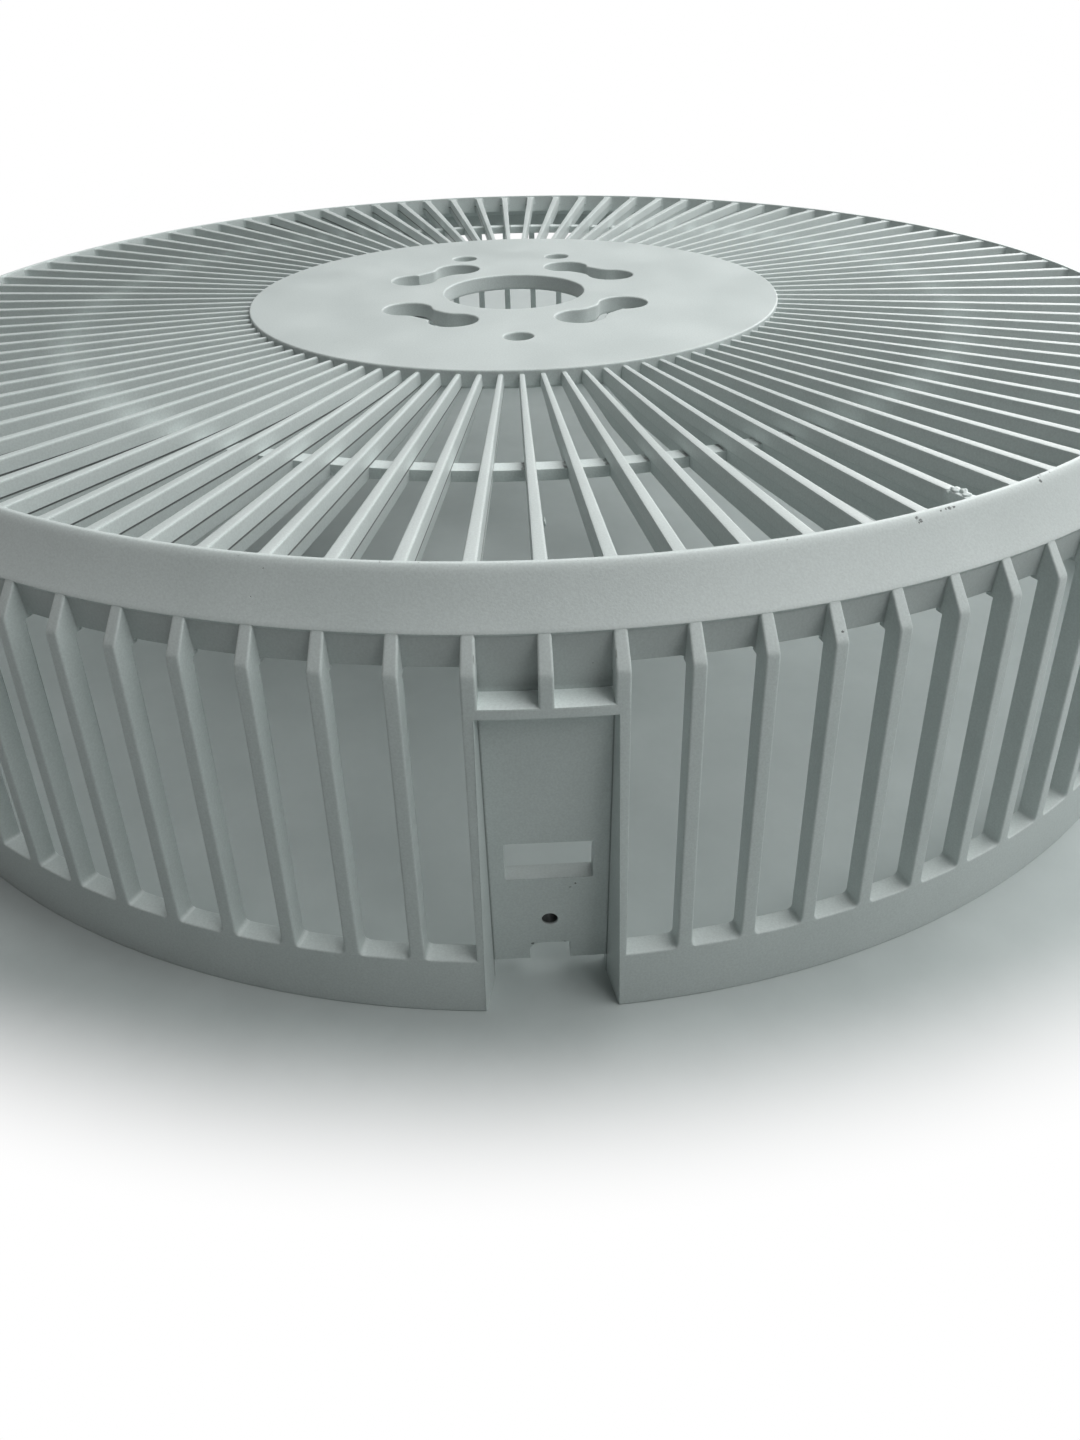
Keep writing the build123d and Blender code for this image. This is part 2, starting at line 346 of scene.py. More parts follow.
def plate(label, border, holes, low, high, ease, place):
    """Skin of a flat plate between two levels. The eased edge is a quarter circle of radius ease: at share s
    of it the outline has moved ease (1 - cos) into the plate and the level has moved ease (1 - sin)."""
    quarter = np.linspace(0, math.pi / 2, 4)
    shift = np.r_[ease * (1 - np.cos(quarter))[::-1], ease * (1 - np.cos(quarter))]
    level = np.r_[high - ease * (1 - np.sin(quarter))[::-1], low + ease * (1 - np.sin(quarter))]
    rows, faces, count = [], [], 0
    flat_low, flat_high = [], []
    for sign, outline in [(-1, border)] + [(1, hole) for hole in holes]:
        loops = np.stack([np.c_[grown(outline, sign * s), np.full(len(outline), z)]
                          for s, z in zip(shift, level)])
        size = len(outline)
        index = count + np.arange(loops.size // 3).reshape(len(level), size)
        strip = np.stack((index[:-1], index[1:], np.roll(index[1:], -1, 1), np.roll(index[:-1], -1, 1)), -1)
        faces.append(strip.reshape(-1, 4)[:, ::-sign])
        flat_high.append(index[0])
        flat_low.append(index[-1])
        rows.append(loops.reshape(-1, 3))
        count += loops.size // 3
    points = np.vstack(rows)
    for ends, order in ((flat_high, 1), (flat_low, -1)):
        fill = tessellate_polygon([[tuple(points[k]) for k in loop] for loop in ends])
        chosen = np.concatenate(ends)[np.array(fill)]
        a, b, c = (points[chosen[:, k], :2] for k in range(3))
        up = np.cross(b - a, c - a) > 0
        chosen[~up] = chosen[~up, ::-1]
        faces.append(chosen[:, ::order])
    keep(label, place(points), faces)


# %% Panel
PANEL_EASE, PANEL_BURY, SLOT_EASE = 0.12, 0.6, 0.25

notch_top, notch_half = PANEL_FOOT + NOTCH_H, NOTCH_W / 2
panel_side, panel_top = PANEL_HALF + PANEL_BURY, SHELF_TOP - PANEL_BURY
border = [(-panel_side, PANEL_FOOT), (-notch_half, PANEL_FOOT), (-notch_half, notch_top - NOTCH_CHAMFER),
          (NOTCH_CHAMFER - notch_half, notch_top), (notch_half, notch_top), (notch_half, PANEL_FOOT),
          (panel_side, PANEL_FOOT), (panel_side, panel_top), (-panel_side, panel_top)]
half_w, half_h = PANEL_SLOT_W / 2, PANEL_SLOT_H / 2
slot_low, slot_high = PANEL_SLOT_Z - half_h, PANEL_SLOT_Z + half_h
panel_slot = eased([(-half_w, slot_low), (half_w, slot_low), (half_w, slot_high), (-half_w, slot_high)],
                   SLOT_EASE)


def stand_up(points):
    """Lays a plate's plan (x, y, level) upright: plan y becomes height, and its level faces -Y."""
    return np.stack((points[:, 0], -points[:, 2], points[:, 1]), -1)


plate("panel", eased(border, PANEL_EASE), [panel_slot, circle(PANEL_SCREW_R, 0, PANEL_SCREW_Z, 24)],
      PANEL_Y - PANEL_THICK, PANEL_Y, PANEL_EASE, stand_up)

# %% [markdown]
# ### Posts and shelf
#
# A post is a bar that is cut off by the recess on one side, so its section has five corners that follow the
# cage's lean, the first opening's straight side and the recess's draft. The shelf closes the recess at the
# top, and three short bars stand on it.

# %% Posts
post_heights = np.r_[0.0, 0.3, 6.0, RING_Z, 20.0, 30.0, 40.0, 50.0, 59.0, SHELF_TOP - 0.15]
for hand in (-1, 1):
    # Corners of a post in plan: its outer side is the side of the first opening, its inner side is the recess
    front = cage_outer(post_heights) - np.where(post_heights < 0.2, 0.3, 0.0)
    across = front * math.sin(PITCH) + bar_half(front) * math.cos(PITCH)
    forward = np.sqrt(front ** 2 - across ** 2)
    back = np.full_like(front, PANEL_Y - PANEL_THICK)
    recess = recess_half(np.sqrt(front ** 2 - PANEL_HALF ** 2))
    slant = (forward - back) * math.tan(1.5 * PITCH)
    inside = np.full_like(front, PANEL_HALF)
    corners = np.stack([np.stack(corner, -1) for corner in (
        (across, forward), (recess, np.sqrt(front ** 2 - recess ** 2)),
        (inside, np.full_like(front, PANEL_Y - 0.2)), (inside, back + 0.05),
        (across - slant, back + 0.05))], -2)
    loop = eased(corners, (BAR_EASE, 0.12, 0.05, 0.1, 0.2))
    levels = np.broadcast_to(post_heights[:, None], loop.shape[:-1])
    keep("post", *tube(np.stack((hand * loop[..., 0], -loop[..., 1], levels), -1)[None]))

# %% Shelf
upper = np.r_[SHELF_TOP - 1.0, 63.0, head]
keep("bars over the shelf", *tube(bar_loops(upper, PITCH * np.array([-1, 0, 1])[:, None, None])))

# The shelf's front edge leans out a little below its top, as the cage does
shelf_under, shelf_back, shelf_front = SHELF_TOP - SHELF_THICK, wall_back + 0.5, cage_outer(SHELF_TOP)
shelf = eased([(shelf_back, shelf_under), (shelf_front + 0.16, shelf_under), (shelf_front, SHELF_TOP),
               (shelf_back, SHELF_TOP)], (0.1, 0.15, 0.3, 0.1))
shelf_turn = PITCH * 1.02
keep("shelf", *turned(shelf, -shelf_turn, shelf_turn, steps=25))
wall_low, wall_high = SHELF_TOP - 1, WALL_Z + PANEL_BURY
back_wall = eased([(wall_back, wall_low), (WALL_R, wall_low), (WALL_R, wall_high), (wall_back, wall_high)],
                  0.05)
keep("wall behind the shelf", *turned(back_wall, -shelf_turn, shelf_turn, steps=25))

# %% [markdown]
# ## Hub plate
#
# The hub plate takes the motor. Its four slots are waisted: two round ends joined by a narrower neck. Three
# of the neck's four corners are blended by circles that touch both the neck and the round end, so the whole
# outline is five arcs, worked out from where those circles touch.

# %% Hub plate
def waisted_slot():
    """Outline of one slot about its own centre, long along y: end circles of radius LOBE_R at (0, +-o), and
    blend circles of radius SLOT_BLEND at (+-a, +-b), with a = WAIST/2 + SLOT_BLEND and
    b = o - sqrt((LOBE_R + SLOT_BLEND)^2 - a^2). The fourth corner has no blend: there the neck's straight
    side meets the end circle in a sharp corner, the stop for the motor's lug."""
    o = SLOT_CIRCLE_R * math.sin(LOBE_ANGLE)
    a = WAIST / 2 + SLOT_BLEND
    rise = math.sqrt((LOBE_R + SLOT_BLEND) ** 2 - a ** 2)
    b, tilt = o - rise, math.atan2(rise, a)

    def arc(radius, x, y, begin, end, count):
        angle = np.linspace(begin, end, count, endpoint=False)
        return np.stack((x + radius * np.cos(angle), y + radius * np.sin(angle)), -1)

    stop = -math.acos(WAIST / 2 / LOBE_R)
    return np.vstack((arc(LOBE_R, 0, o, stop, math.pi + tilt, 32), arc(SLOT_BLEND, -a, b, tilt, 0, 6),
                      arc(SLOT_BLEND, -a, -b, 0, -tilt, 6),
                      arc(LOBE_R, 0, -o, math.pi - tilt, 2 * math.pi + tilt, 28),
                      arc(SLOT_BLEND, a, -b, math.pi + tilt, math.pi, 6)))


def spun(outline, angle):
    """Outline turned anticlockwise about the axis."""
    c, s = math.cos(angle), math.sin(angle)
    return outline @ np.array([[c, s], [-s, c]])


HUB_EASE, QUARTER = 0.45, math.pi / 2

slot = waisted_slot() + (SLOT_CIRCLE_R * math.cos(LOBE_ANGLE), 0)
holes = [circle(CENTRE_HOLE_R, count=96)]
holes += [spun(slot, (k + 0.5) * QUARTER) for k in range(4)]
for angle in (-QUARTER, QUARTER - REAR_SCREW, QUARTER + REAR_SCREW):
    holes.append(circle(SCREW_R, SCREW_CIRCLE_R * math.cos(angle), SCREW_CIRCLE_R * math.sin(angle), 36))
plate("hub plate", circle(HUB_R, count=192), holes, HUB_TOP - HUB_THICK, HUB_TOP, HUB_EASE,
      lambda points: points)

# %% [markdown]
# ## Flash and the gate's scar
#
# Where two blocks of the mould meet, a hair of plastic creeps into the joint and stands up as a fin, called
# flash: here along both sides of the panel's recess, under the shelf and along the bars' inner edges. One
# rib end also keeps a torn lump, where the gate that fed the plastic was broken off. A fin is a thin diamond
# carried along a line, and the lump is a few spheres whose radius is stretched and waved.

# %% Flash fins
def fin(label, line, across, out):
    """Fin along a line of points: its section is the diamond line - across, line + out, line + across,
    line - out."""
    line, across, out = np.asarray(line, float), np.asarray(across, float), np.asarray(out, float)
    keep(label, *tube(np.stack((line - across, line + out, line + across, line - out), 1)[None]))


rise = np.array([0.4, 6.0, RING_Z, 24.0, 36.0, 48.0, shelf_under - 0.05])
edge = recess_half(np.sqrt(cage_outer(rise) ** 2 - PANEL_HALF ** 2))
edge_forward = np.sqrt(cage_outer(rise) ** 2 - edge ** 2) - 0.04
up_panel = np.array([PANEL_FOOT, 20.0, 40.0, shelf_under])
for hand in (-1, 1):
    fin("flash on the recess edge", np.stack((hand * (edge + 0.1), -edge_forward, rise), -1),
        across=(0.07, 0, 0), out=(hand * 0.02, -0.14, 0))
    fin("flash at the panel's side",
        np.stack((np.full(4, hand * (PANEL_HALF - 0.28)), np.full(4, -PANEL_Y), up_panel), -1),
        across=(0.05, 0, 0), out=(0, -0.09, 0))
lip_forward = cage_outer(shelf_under) - 0.5
for label, half_length, forward, height, thick, out in (
        ("flash under the shelf", PANEL_HALF + 0.3, lip_forward, shelf_under - 0.02, 0.09, 0.12),
        ("flash at the panel's head", PANEL_HALF, PANEL_Y, shelf_under - 0.4, 0.05, 0.09)):
    fin(label, [(-half_length, -forward, height), (half_length, -forward, height)],
        across=(0, 0, thick), out=(0, -out, 0))

# Flash along the inner edge of each bar, on the side that one half of the mould formed: a diamond again
fin_heights = np.linspace(WALL_Z - FILLET - 0.5, 38.0, 5)
fin_size = np.array([0.13, 0.12, 0.1, 0.07, 0.02])
fin_radius = cage_outer(fin_heights) - CAGE_THICK + 0.3
fin_side = bar_half(fin_radius) - 0.03
fin_radii = fin_radius[:, None] + np.multiply.outer(fin_size, [0.5, 0, -0.5, 0])
fin_sides = fin_side[:, None] + np.multiply.outer(fin_size, [0, 1, 0, -1])
keep("flash on the bars", *tube(polar(fin_radii, fin_sides, fin_heights[:, None], bar_turns)))


# %% Gate scar and burr
def lump(label, middle, stretch, lean, waves, rows=14, columns=22):
    """Closed lump: a unit sphere at angle u from its top and longitude v, whose radius is
    1 + 0.16 sin(waves v + 3u) sin(2u) + 0.12 cos(2v - waves u) sin(u), stretched and then turned by lean
    about Z."""
    u = np.linspace(0.04, math.pi - 0.04, rows)[:, None]
    v = np.linspace(0, 2 * math.pi, columns, endpoint=False)[None]
    radius = (1 + 0.16 * np.sin(waves * v + 3 * u) * np.sin(2 * u)
              + 0.12 * np.cos(2 * v - waves * u) * np.sin(u))
    ball = np.stack((radius * np.sin(u) * np.cos(v), radius * np.sin(u) * np.sin(v), radius * np.cos(u)), -1)
    ball = ball * stretch
    ball[..., :2] = spun(ball[..., :2], lean)
    keep(label, *tube((ball + middle)[None]))


gate_rib = 7 * PITCH
along_rib = gate_rib - math.pi / 2
for radius, side, height, stretch, waves in (
        (153.3, -0.15, 77.75, (0.95, 0.75, 0.42), 3), (154.6, 0.2, 77.8, (0.85, 0.6, 0.5), 4),
        (155.6, -0.1, 77.75, (0.8, 0.7, 0.35), 2), (152.6, -0.95, 77.3, (0.35, 0.5, 0.55), 3)):
    lump("gate scar", polar(radius, side, height, gate_rib), stretch, along_rib, waves)
lump("burr on the front rib", (1.3, -142.2, 76.9), (0.16, 0.75, 0.7), 0.0, 3)

# %% [markdown]
# ## One mesh
#
# All skins go into one mesh, because the real thing is one piece. Faces are smooth, edges sharper than
# 42 degrees stay sharp, and weighted normals keep the large flats flat beside their eased edges.

# %% Join the skins
def mesh_object(name, parts):
    """One mesh object from (points in mm, faces) skins, its numbers written in one go with foreach_set."""
    points = np.vstack([p for p, _ in parts]) * MM
    starts = np.cumsum([0] + [len(p) for p, _ in parts])[:-1]
    arrays = [face + start for (_, faces), start in zip(parts, starts) for face in faces]
    sizes = np.concatenate([np.full(len(a), a.shape[1]) for a in arrays])
    corners = np.concatenate([a.ravel() for a in arrays])
    mesh = bpy.data.meshes.new(name)
    mesh.vertices.add(len(points))
    mesh.vertices.foreach_set("co", points.ravel().astype(np.float32))
    mesh.loops.add(len(corners))
    mesh.loops.foreach_set("vertex_index", corners.astype(np.int32))
    mesh.polygons.add(len(sizes))
    mesh.polygons.foreach_set("loop_start", np.r_[0, np.cumsum(sizes)[:-1]].astype(np.int32))
    mesh.update(calc_edges=True)
    mesh.validate()
    mesh.polygons.foreach_set("use_smooth", np.ones(len(mesh.polygons), bool))
    mesh.set_sharp_from_angle(angle=math.radians(42))
    holder = bpy.data.objects.new(name, mesh)
    bpy.context.scene.collection.objects.link(holder)
    weighted = holder.modifiers.new("flat_faces_stay_flat", "WEIGHTED_NORMAL")
    weighted.keep_sharp = True
    return holder


moulding = mesh_object("guard_moulding", skins)
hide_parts("rear_guard")
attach(moulding, "root")
triangles = sum(len(p.vertices) - 2 for p in moulding.data.polygons)
print("the moulding has", triangles, "triangles")

# %% [markdown]
# ## Plastic
#
# Cool grey, slightly green plastic with a dull moulded skin. A wide noise clouds the colour and the
# roughness, and a fine one gives the skin its tooth and a faint grain. Several things change its shade:
# painted shade in the ribs' parting groove and on their lower halves, on the band, on the wall under it, in
# the screw hole and on the slot's ledge; painted highlights on the ribs' upper edges, the lip and the shelf's
# top;
# darker corners in the panel's recess and darker blotches on the tie ring; and some nicks and specks. They
# could be painted on an image, but an image needs a flat layout of all 96 ribs, and its pixels show in a
# close view. So each one is a mask, from 0 to 1, worked out from the place on the part in millimetres.

# %% Node helpers
plastic = bpy.data.materials.new("cool_grey_plastic")
plastic.use_nodes = True
tree = plastic.node_tree
shader = tree.nodes["Principled BSDF"]


def node(kind, **sockets):
    """Adds a node, sets the named properties or input sockets, and links any socket that is given one."""
    made = tree.nodes.new(kind)
    for key, value in sockets.items():
        key = key.replace("_", " ") if key[0].isupper() else key
        if key in made.inputs:
            if isinstance(value, bpy.types.NodeSocket):
                tree.links.new(value, made.inputs[key])
            else:
                made.inputs[key].default_value = value
        else:
            setattr(made, key, value)
    return made


def calc(operation, *values):
    """Math node on sockets and numbers."""
    made = node("ShaderNodeMath", operation=operation)
    for slot, value in zip(made.inputs, values):
        if isinstance(value, bpy.types.NodeSocket):
            tree.links.new(value, slot)
        else:
            slot.default_value = value
    return made.outputs[0]


def ramp(value, begin, end, low=0.0, high=1.0):
    """Straight ramp from low at begin to high at end, flat outside."""
    return node("ShaderNodeMapRange", Value=value, From_Min=begin, From_Max=end, To_Min=low,
                To_Max=high).outputs["Result"]


def near(value, middle, half):
    """1 where value is within half of middle, falling to 0 over another half."""
    return ramp(calc("ABSOLUTE", calc("SUBTRACT", value, middle)), 2 * half, half)


def overlap(*masks):
    """Product of masks: 1 only where all of them are 1."""
    product = masks[0]
    for mask in masks[1:]:
        product = calc("MULTIPLY", product, mask)
    return product


def distance(vector, spot):
    """Distance of a place, given as a vector socket, from a fixed spot."""
    made = node("ShaderNodeVectorMath", operation="DISTANCE")
    tree.links.new(vector, made.inputs[0])
    made.inputs[1].default_value = spot
    return made.outputs["Value"]


# %% Colour clouds and places on the part
place = node("ShaderNodeTexCoord").outputs["Object"]
clouds = node("ShaderNodeTexNoise", Vector=place, Scale=55.0, Detail=3.0, Roughness=0.55).outputs["Fac"]
tooth = node("ShaderNodeTexNoise", Vector=place, Scale=2600.0, Detail=2.0, Roughness=0.6).outputs["Fac"]
tint = node("ShaderNodeValToRGB", Fac=clouds)
tint.color_ramp.elements[0].position = 0.3
tint.color_ramp.elements[0].color = (0.580, 0.632, 0.622, 1)
tint.color_ramp.elements[1].position = 0.7
tint.color_ramp.elements[1].color = (0.622, 0.674, 0.664, 1)

in_mm = node("ShaderNodeVectorMath", operation="SCALE", Vector=place, Scale=1 / MM).outputs["Vector"]
x, y, z = node("ShaderNodeSeparateXYZ", Vector=in_mm).outputs
reach = calc("SQRT", calc("ADD", calc("MULTIPLY", x, x), calc("MULTIPLY", y, y)))
face_x, face_y, level = node("ShaderNodeSeparateXYZ",
                             Vector=node("ShaderNodeNewGeometry").outputs["True Normal"]).outputs
upright = ramp(calc("ABSOLUTE", level), 0.6, 0.4)
# How far a face looks anticlockwise round the axis: (x ny - y nx) / r
leading = calc("DIVIDE", calc("SUBTRACT", calc("MULTIPLY", x, face_y), calc("MULTIPLY", y, face_x)), reach)
# Place within one pitch: 0 in the middle of a rib, going anticlockwise to 1 at the next one
turn_share = calc("DIVIDE", calc("ARCTAN2", x, calc("MULTIPLY", y, -1.0)), PITCH)
in_pitch = calc("SUBTRACT", turn_share, calc("FLOOR", turn_share))

# %% [markdown]
# ### Painted shade and darker places
#
# Painted shade darkens the ribs in their parting groove and below it, most on the side of each rib that faces
# anticlockwise, and darkens the band, the wall under it, the panel's screw hole and the slot's lower ledge.
# The corners of the panel's recess, and the tie ring in blotches beside one side of each rib, are darker too.

# %% Painted shade on the ribs, band and wall
rib_zone = ramp(reach, RIM_IN, RIM_IN - 0.2)
on_ribs = overlap(rib_zone, upright)
# Painted shade: a dark line in the parting groove, strongest on the side of each rib that faces anticlockwise
parting_groove_shade = overlap(rib_zone, near(z, PARTING - 0.02, 0.11), ramp(leading, 0.1, 0.5, 0.12, 1.0))
# Painted shade: the ribs' sides below the parting line are darker, most on their anticlockwise side
lower_half_shade = overlap(on_ribs, ramp(z, PARTING, PARTING - 0.1), ramp(leading, 0.1, 0.5, 0.3, 1.0))
# Painted shade: the band is darker than the hub
band_shade = overlap(ramp(reach, RIM_IN + 0.7, RIM_IN + 2.0), ramp(z, BAND_EDGE_Z - 0.4, BAND_EDGE_Z + 0.3))
# Painted shade: upright faces under the band's edge, down to the shelf, are darker
wall_shade = overlap(ramp(reach, WALL_R + 0.4, WALL_R + 0.1), ramp(z, BAND_EDGE_Z + 0.2, BAND_EDGE_Z - 0.2),
                  ramp(z, SHELF_TOP + 0.3, SHELF_TOP + 1.0), upright)

# %% Darker corners, painted shade in the screw hole and on the slot's ledge, and specks
width = calc("ABSOLUTE", x)
facing_up = ramp(level, 0.3, 0.7)
# The corners of the panel's recess and the panel's head under the shelf are darker
recess_corner = overlap(near(width, PANEL_HALF, 0.07), near(z, shelf_under / 2, shelf_under / 2))
head_corner = overlap(near(z, shelf_under - 0.05, 0.08), ramp(width, PANEL_HALF + 0.1, PANEL_HALF))
recess_corners_darker = overlap(calc("MAXIMUM", recess_corner, head_corner), near(y, -PANEL_Y, 0.25))

# Painted shade inside the panel's screw hole
above_screw = calc("SUBTRACT", z, PANEL_SCREW_Z)
from_screw = calc("SQRT", calc("ADD", calc("POWER", width, 2.0), calc("POWER", above_screw, 2.0)))
from_panel_middle = calc("ABSOLUTE", calc("ADD", y, PANEL_Y - PANEL_THICK / 2))
screw_hole_shade = overlap(ramp(from_screw, PANEL_SCREW_R + 0.16, PANEL_SCREW_R + 0.06),
                     ramp(from_panel_middle, PANEL_THICK / 2 - 0.1, PANEL_THICK / 2 - 0.6))
# Painted shade on the slot's lower ledge
slot_ledge_shade = overlap(near(z, slot_low, 0.1), facing_up, ramp(width, half_w + 0.3, half_w))

# The tie ring is darker in blotches beside one side of each rib
blotches = node("ShaderNodeTexNoise", Vector=in_mm, Scale=0.9, Detail=2.0).outputs["Fac"]
tie_middle = (TIE_IN + TIE_OUT) / 2
tie_ring_darker = overlap(near(in_pitch, 0.84, 0.03), near(reach, tie_middle, 2.0), facing_up,
                   ramp(blotches, 0.35, 0.6))
grit = node("ShaderNodeTexNoise", Vector=in_mm, Scale=0.55, Detail=4.0, Roughness=0.8).outputs["Fac"]
lip_specks = overlap(near(reach, RIM_IN + 0.5, 0.45), ramp(z, RIM_TOP - 0.8, RIM_TOP - 0.5),
                     ramp(grit, 0.64, 0.70))

# %% [markdown]
# ### Painted highlights, paler places and nicks
#
# Painted highlights lighten the upper edges of the ribs on their anticlockwise side, the rim's lip and the
# front of the shelf's top, and torn plastic is paler than its skin. A nick is a small pit where the skin is
# gone. Its place is one spot with a radius, and a noise moves the measured place about, so that its outline
# is ragged and not a circle.

# %% Painted highlights and paler places
# Painted highlight on the ribs' upper edges, on the side of each rib that faces anticlockwise
rib_edge_highlight = overlap(rib_zone, ramp(z, RIB_TOP - RIB_EASE - 0.05, RIB_TOP - 0.2),
                     ramp(reach, HUB_R + 0.1, HUB_R + 0.3), ramp(leading, 0.1, 0.6))
# Painted highlight along the rim's lip
lip_highlight = overlap(near(reach, RIM_IN + 0.25, 0.3), ramp(z, RIM_TOP - 0.5, RIM_TOP - 0.2))
# Painted light on the shelf's top, towards its front edge
shelf_light = overlap(near(z, SHELF_TOP, 0.3), facing_up, ramp(y, -WALL_R + 2.0, -WALL_R))
gate_spot = polar(154.2, 0.0, RIB_TOP, gate_rib)
torn_gate = ramp(distance(in_mm, gate_spot), 3.0, 1.8)
tie_blush = overlap(near(reach, tie_middle, 3.0), rib_zone,
                    ramp(calc("ABSOLUTE", calc("SUBTRACT", z, PARTING + 0.6)), 2.0, 0.2))

# %% Nicks and specks
# Place in millimetres and radius of each mark: on the rim, on a bar and the wall, and on the panel
MARKS = [
    (57.9, -147.4, 77.8, 0.30), (58.5, -147.7, 77.4, 0.26), (58.1, -147.9, 77.2, 0.16),
    (62.3, -145.4, 77.9, 0.20), (63.3, -144.9, 77.9, 0.16), (63.9, -144.6, 77.9, 0.26),
    (64.8, -144.3, 77.9, 0.22), (82.5, -134.5, 78.0, 0.22), (82.7, -135.2, 77.7, 0.26),
    (85.1, -132.7, 78.0, 0.18), (-40.1, -154.2, 76.9, 0.13), (-42.1, -156.8, 73.7, 0.12),
    (42.4, -151.3, 78.0, 0.16), (36.3, -153.7, 78.0, 0.14),
    (43.8, -162.5, 67.3, 0.18), (7.0, -165.1, 65.2, 0.15),
    (4.35, -167.2, 22.8, 0.20), (3.5, -167.2, 21.9, 0.15), (-3.1, -167.2, 8.2, 0.22),
    (2.6, -167.2, 8.3, 0.24), (3.3, -167.2, 8.1, 0.22)]
TEAR = 0.7
crumble = node("ShaderNodeTexNoise", Vector=in_mm, Scale=2.2, Detail=2.0).outputs["Color"]
# The noise runs from 0 to 1 about a middle of 0.5, so it moves every place by about TEAR / 2, and the spots
# move along with it
torn = node("ShaderNodeVectorMath", operation="MULTIPLY_ADD")
tree.links.new(crumble, torn.inputs[0])
torn.inputs[1].default_value = (TEAR, TEAR, TEAR)
tree.links.new(in_mm, torn.inputs[2])
marks = 0.0
for *spot, size in MARKS:
    from_mark = distance(torn.outputs["Vector"], [value + TEAR / 2 for value in spot])
    marks = calc("MAXIMUM", marks, ramp(from_mark, size * 1.3, size * 0.7))
print(len(MARKS), "nicks and specks")

# %% [markdown]
# ### Finish
#
# Every mask multiplies the colour by its own share, so the order doesn't matter and overlapping places add
# up. The grain and the pits are bump only, because they are far too shallow to change an outline.

# %% Finish of the plastic
# Each place, and the share of the colour that it keeps: below 1 it is darker, above 1 lighter
shares = [(lower_half_shade, 0.82), (parting_groove_shade, 0.18), (recess_corners_darker, 0.5), (screw_hole_shade, 0.08), (marks, 0.3),
          (tie_ring_darker, 0.35), (slot_ledge_shade, 0.72), (lip_specks, 0.55), (band_shade, 0.89), (wall_shade, 0.8),
          (rib_edge_highlight, 1.18), (lip_highlight, 1.15), (shelf_light, 1.3), (tie_blush, 1.12), (torn_gate, 1.25)]
shade = ramp(tooth, 0.3, 0.7, 0.94, 1.06)
for place_mask, share in shares:
    shade = overlap(shade, ramp(place_mask, 0, 1, 1, share))
shaded = node("ShaderNodeVectorMath", operation="SCALE", Vector=tint.outputs["Color"], Scale=shade)
tree.links.new(shaded.outputs["Vector"], shader.inputs["Base Color"])
tree.links.new(ramp(clouds, 0.3, 0.7, 0.36, 0.46), shader.inputs["Roughness"])
skin = node("ShaderNodeBump", Strength=0.35, Distance=0.00006, Height=tooth)
pits = node("ShaderNodeBump", Strength=0.8, Distance=0.00015, Height=calc("MULTIPLY", marks, -1.0),
            Normal=skin.outputs["Normal"])
tree.links.new(pits.outputs["Normal"], shader.inputs["Normal"])
moulding.data.materials.append(plastic)
print("the plastic has", len(tree.nodes), "nodes")

# %% [markdown]
# ## Floor, light and camera
#
# The floor is plain and pale. Nine soft square lamps stand round the guard at one distance, most of them
# above and to the right, as in the photograph, and the room gives a weak fill, so the upright faces at the
# front and left are in shade. A single lamp would leave hard shadows between the ribs. Close to the guard the
# floor shows its shade. Further away it fades to white for the camera. The round patch that stays grey has
# its centre a little behind the guard's axis, because the openings show the floor behind it. Reflections see
# the white only from further out, where it doesn't brighten the upright faces.

# %% Floor
# All in metres: the centre of the grey patch, and the distances from it, and from the axis, at which it ends
FADE_CENTRE, FADE_BEGIN, FADE_END, MIRROR_FADE = (0, 0.085, 0), 0.262, 0.298, (0.22, 0.42)
FLOOR_HALF = 4

floor_mesh = bpy.data.meshes.new("floor")
floor_mesh.from_pydata([(-FLOOR_HALF, -FLOOR_HALF, 0), (FLOOR_HALF, -FLOOR_HALF, 0),
                        (FLOOR_HALF, FLOOR_HALF, 0), (-FLOOR_HALF, FLOOR_HALF, 0)], [], [(0, 1, 2, 3)])
floor = bpy.data.objects.new("floor", floor_mesh)
bpy.context.scene.collection.objects.link(floor)
floor_paint = bpy.data.materials.new("pale_floor")
floor_paint.use_nodes = True
tree = floor_paint.node_tree
matt = tree.nodes["Principled BSDF"]
matt.inputs["Roughness"].default_value = 0.9
on_floor = node("ShaderNodeTexCoord").outputs["Object"]
smears = node("ShaderNodeTexNoise", Vector=on_floor, Scale=22.0, Detail=5.0, Roughness=0.62)
worn = node("ShaderNodeValToRGB", Fac=smears.outputs["Fac"])
worn.color_ramp.elements[0].position = 0.35
worn.color_ramp.elements[0].color = (0.465, 0.51, 0.505, 1)
worn.color_ramp.elements[1].position = 0.65
worn.color_ramp.elements[1].color = (0.525, 0.57, 0.565, 1)
tree.links.new(worn.outputs["Color"], matt.inputs["Base Color"])
fade = node("ShaderNodeMapRange", Value=distance(on_floor, FADE_CENTRE), interpolation_type="SMOOTHSTEP",
            From_Min=FADE_BEGIN, From_Max=FADE_END).outputs["Result"]
mirror_fade = ramp(distance(on_floor, (0, 0, 0)), *MIRROR_FADE)
paper = node("ShaderNodeEmission", Color=(1, 1, 1, 1), Strength=1.0)
look = node("ShaderNodeLightPath")
seen_white = overlap(fade, look.outputs["Is Camera Ray"])
mirrored_white = overlap(mirror_fade, look.outputs["Is Glossy Ray"])
blend = node("ShaderNodeMixShader", Fac=calc("MAXIMUM", seen_white, mirrored_white))
tree.links.new(matt.outputs[0], blend.inputs[1])
tree.links.new(paper.outputs[0], blend.inputs[2])
tree.links.new(blend.outputs[0], tree.nodes["Material Output"].inputs["Surface"])
floor_mesh.materials.append(floor_paint)
print("the floor is", 2 * FLOOR_HALF, "m wide, and grey to", FADE_END, "m from the patch's centre")

